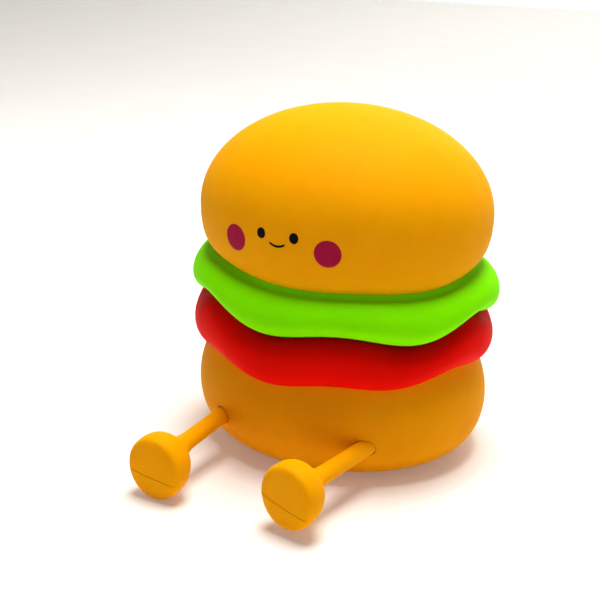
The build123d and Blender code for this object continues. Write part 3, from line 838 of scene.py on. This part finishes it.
def bead(points: list[Vector], radius: float, name: str, body: Body, finish: Finish) -> None:
    """Lay a thin round bead along points on a surface.

    Args:
        points: places on the surface, in order.
        radius: the bead's radius in metres.
        name: piece name.
        body: body that it moves with.
        finish: its material.
    """
    mesh = bmesh.new()
    rim: list[bmesh.types.BMEdge] = []
    last = Matrix()
    for number, point in enumerate(points):
        ahead = points[min(number + 1, len(points) - 1)] - points[max(number - 1, 0)]
        place = Matrix.Translation(point) @ ahead.to_track_quat("Z", "Y").to_matrix().to_4x4()
        if not rim:
            made = bmesh.ops.create_circle(mesh, segments=8, radius=radius, cap_ends=True, matrix=place)
            rim = list({edge for vert in made["verts"] for edge in vert.link_edges})
        else:
            grown = bmesh.ops.extrude_edge_only(mesh, edges=rim)["geom"]
            verts = [item for item in grown if isinstance(item, bmesh.types.BMVert)]
            rim = [item for item in grown if isinstance(item, bmesh.types.BMEdge)]
            bmesh.ops.transform(mesh, matrix=place @ last.inverted(), verts=verts)
        last = place
    bmesh.ops.holes_fill(mesh, edges=[edge for edge in mesh.edges if edge.is_boundary], sides=0)
    finish_piece(mesh, name, body, finish)


# ---- studio ------------------------------------------------------------------
@dataclass(frozen=True)
class SoftBox:
    """A round area light.

    Args:
        name: its name.
        place: where it stands, in metres.
        target: what it faces.
        size: its width in metres.
        power: its power in watts.
    """

    name: str
    place: tuple[float, float, float]
    target: tuple[float, float, float]
    size: float
    power: float


@dataclass
class Studio:
    """Pale floor and backdrop, soft light and the camera."""

    azimuth: float = 25.0
    elevation: float = 20.0
    distance: float = 456.0 * MM
    pivot_z: float = 54.0 * MM
    aim: tuple[float, float] = (-16.73 * MM, 54.85 * MM)
    roll: float = 0.78
    lens: float = 69.62
    wall_y: float = 1.7
    sheet_size: float = 3.0
    boxes: tuple[SoftBox, ...] = (
        SoftBox("overhead", (0.03, 0.05, 0.95), (0.0, 0.0, 0.06), 0.50, 10.8),
        SoftBox("front", (-0.45, -0.9, 0.75), (0.0, 0.0, 0.06), 0.9, 0.15),
        SoftBox("backdrop", (0.0, 1.45, 1.0), (0.0, 1.45, 0.0), 1.2, 7.0),
    )
    surround: str = "#FFFBF5"
    surround_strength: float = 0.20

    def build(self) -> None:
        """Set the camera, the tabletop, the card that stands behind it and the lights."""
        self._camera()
        self._sheet("floor", Matrix(), TABLETOP)
        upright = Matrix.Rotation(math.pi / 2, 4, "X")
        self._sheet("wall", Matrix.Translation((0, self.wall_y, 0)) @ upright, CARD)
        self._lights()

    def _camera(self) -> None:
        """Camera that circles the lamp's axis and looks a little to its left."""
        turn, lift = math.radians(self.azimuth), math.radians(self.elevation)
        back = Vector((math.sin(turn) * math.cos(lift), -math.cos(turn) * math.cos(lift), math.sin(lift)))
        right = Vector((math.cos(turn), math.sin(turn), 0))
        place = back * self.distance + Vector((0, 0, self.pivot_z))
        target = right * self.aim[0] + Vector((0, 0, self.aim[1]))
        data = bpy.data.cameras.new("camera")
        data.sensor_width = 36.0
        data.lens = self.lens
        data.clip_start = 0.01
        camera = bpy.data.objects.new("camera", data)
        facing = (target - place).to_track_quat("-Z", "Y").to_matrix().to_4x4()
        tilt = Matrix.Rotation(math.radians(self.roll), 4, "Z")
        camera.matrix_world = Matrix.Translation(place) @ facing @ tilt
        bpy.context.scene.collection.objects.link(camera)
        bpy.context.scene.camera = camera

    def _sheet(self, name: str, place: Matrix, finish: Finish) -> None:
        """Add a flat sheet that belongs to the studio.

        Args:
            name: its name.
            place: where it goes from the middle of the floor.
            finish: its material.
        """
        mesh = bmesh.new()
        bmesh.ops.create_grid(mesh, x_segments=1, y_segments=1, size=self.sheet_size)
        bmesh.ops.transform(mesh, matrix=place, verts=mesh.verts)
        data = bpy.data.meshes.new(name)
        mesh.to_mesh(data)
        mesh.free()
        data.materials.append(finish.build())
        sheet = bpy.data.objects.new(name, data)
        bpy.context.scene.collection.objects.link(sheet)

    def _lights(self) -> None:
        """Hang the soft boxes in a pale surround, and show colours as they are."""
        for box in self.boxes:
            data = bpy.data.lights.new(box.name, "AREA")
            data.shape = "DISK"
            data.size = box.size
            data.energy = box.power
            lamp = bpy.data.objects.new(box.name, data)
            lamp.location = box.place
            facing = Vector(box.target) - Vector(box.place)
            lamp.rotation_euler = facing.to_track_quat("-Z", "Y").to_euler()
            bpy.context.scene.collection.objects.link(lamp)
        world = bpy.data.worlds.new("surround")
        world.use_nodes = True
        background = world.node_tree.nodes["Background"]
        background.inputs["Color"].default_value = srgb(self.surround)
        background.inputs["Strength"].default_value = self.surround_strength
        bpy.context.scene.world = world
        bpy.context.scene.view_settings.view_transform = "Standard"


def dress_frame() -> None:
    """Give each CAD node that shows its own finish."""
    for name, finish in NODE_FINISHES.items():
        node = frame["nodes"][name]
        material = finish.build()
        node.data.materials.clear()
        node.data.materials.append(material)
        LOG.info("%s dressed in %s", name, material.name)


def leg_joint(name: str) -> tuple[Vector, Vector]:
    """Root and direction of a leg, from its joint."""
    joint = next(item for item in frame["joints"] if item["name"] == name)
    return Vector(joint["pos_m"]), Vector(joint["axis"]).normalized()


def main() -> None:
    """Build everything in order."""
    logging.basicConfig(level=logging.INFO, format="%(message)s")
    Studio().build()
    dress_frame()
    bun = SoftShell().build()
    bpy.context.view_layer.update()
    PrintedFace(bun).build()
    for side, body, roll, offset in (
            ("left", Body.LEFT_LEG, 8.0, (-1.2 * MM, -3.0 * MM)),
            ("right", Body.RIGHT_LEG, 12.0, (-0.6 * MM, -0.8 * MM)),
    ):
        root, along = leg_joint(f"{side}_leg_turn")
        Foot(side, body, root, along, math.radians(roll), offset).build()


if __name__ == "__main__":
    main()
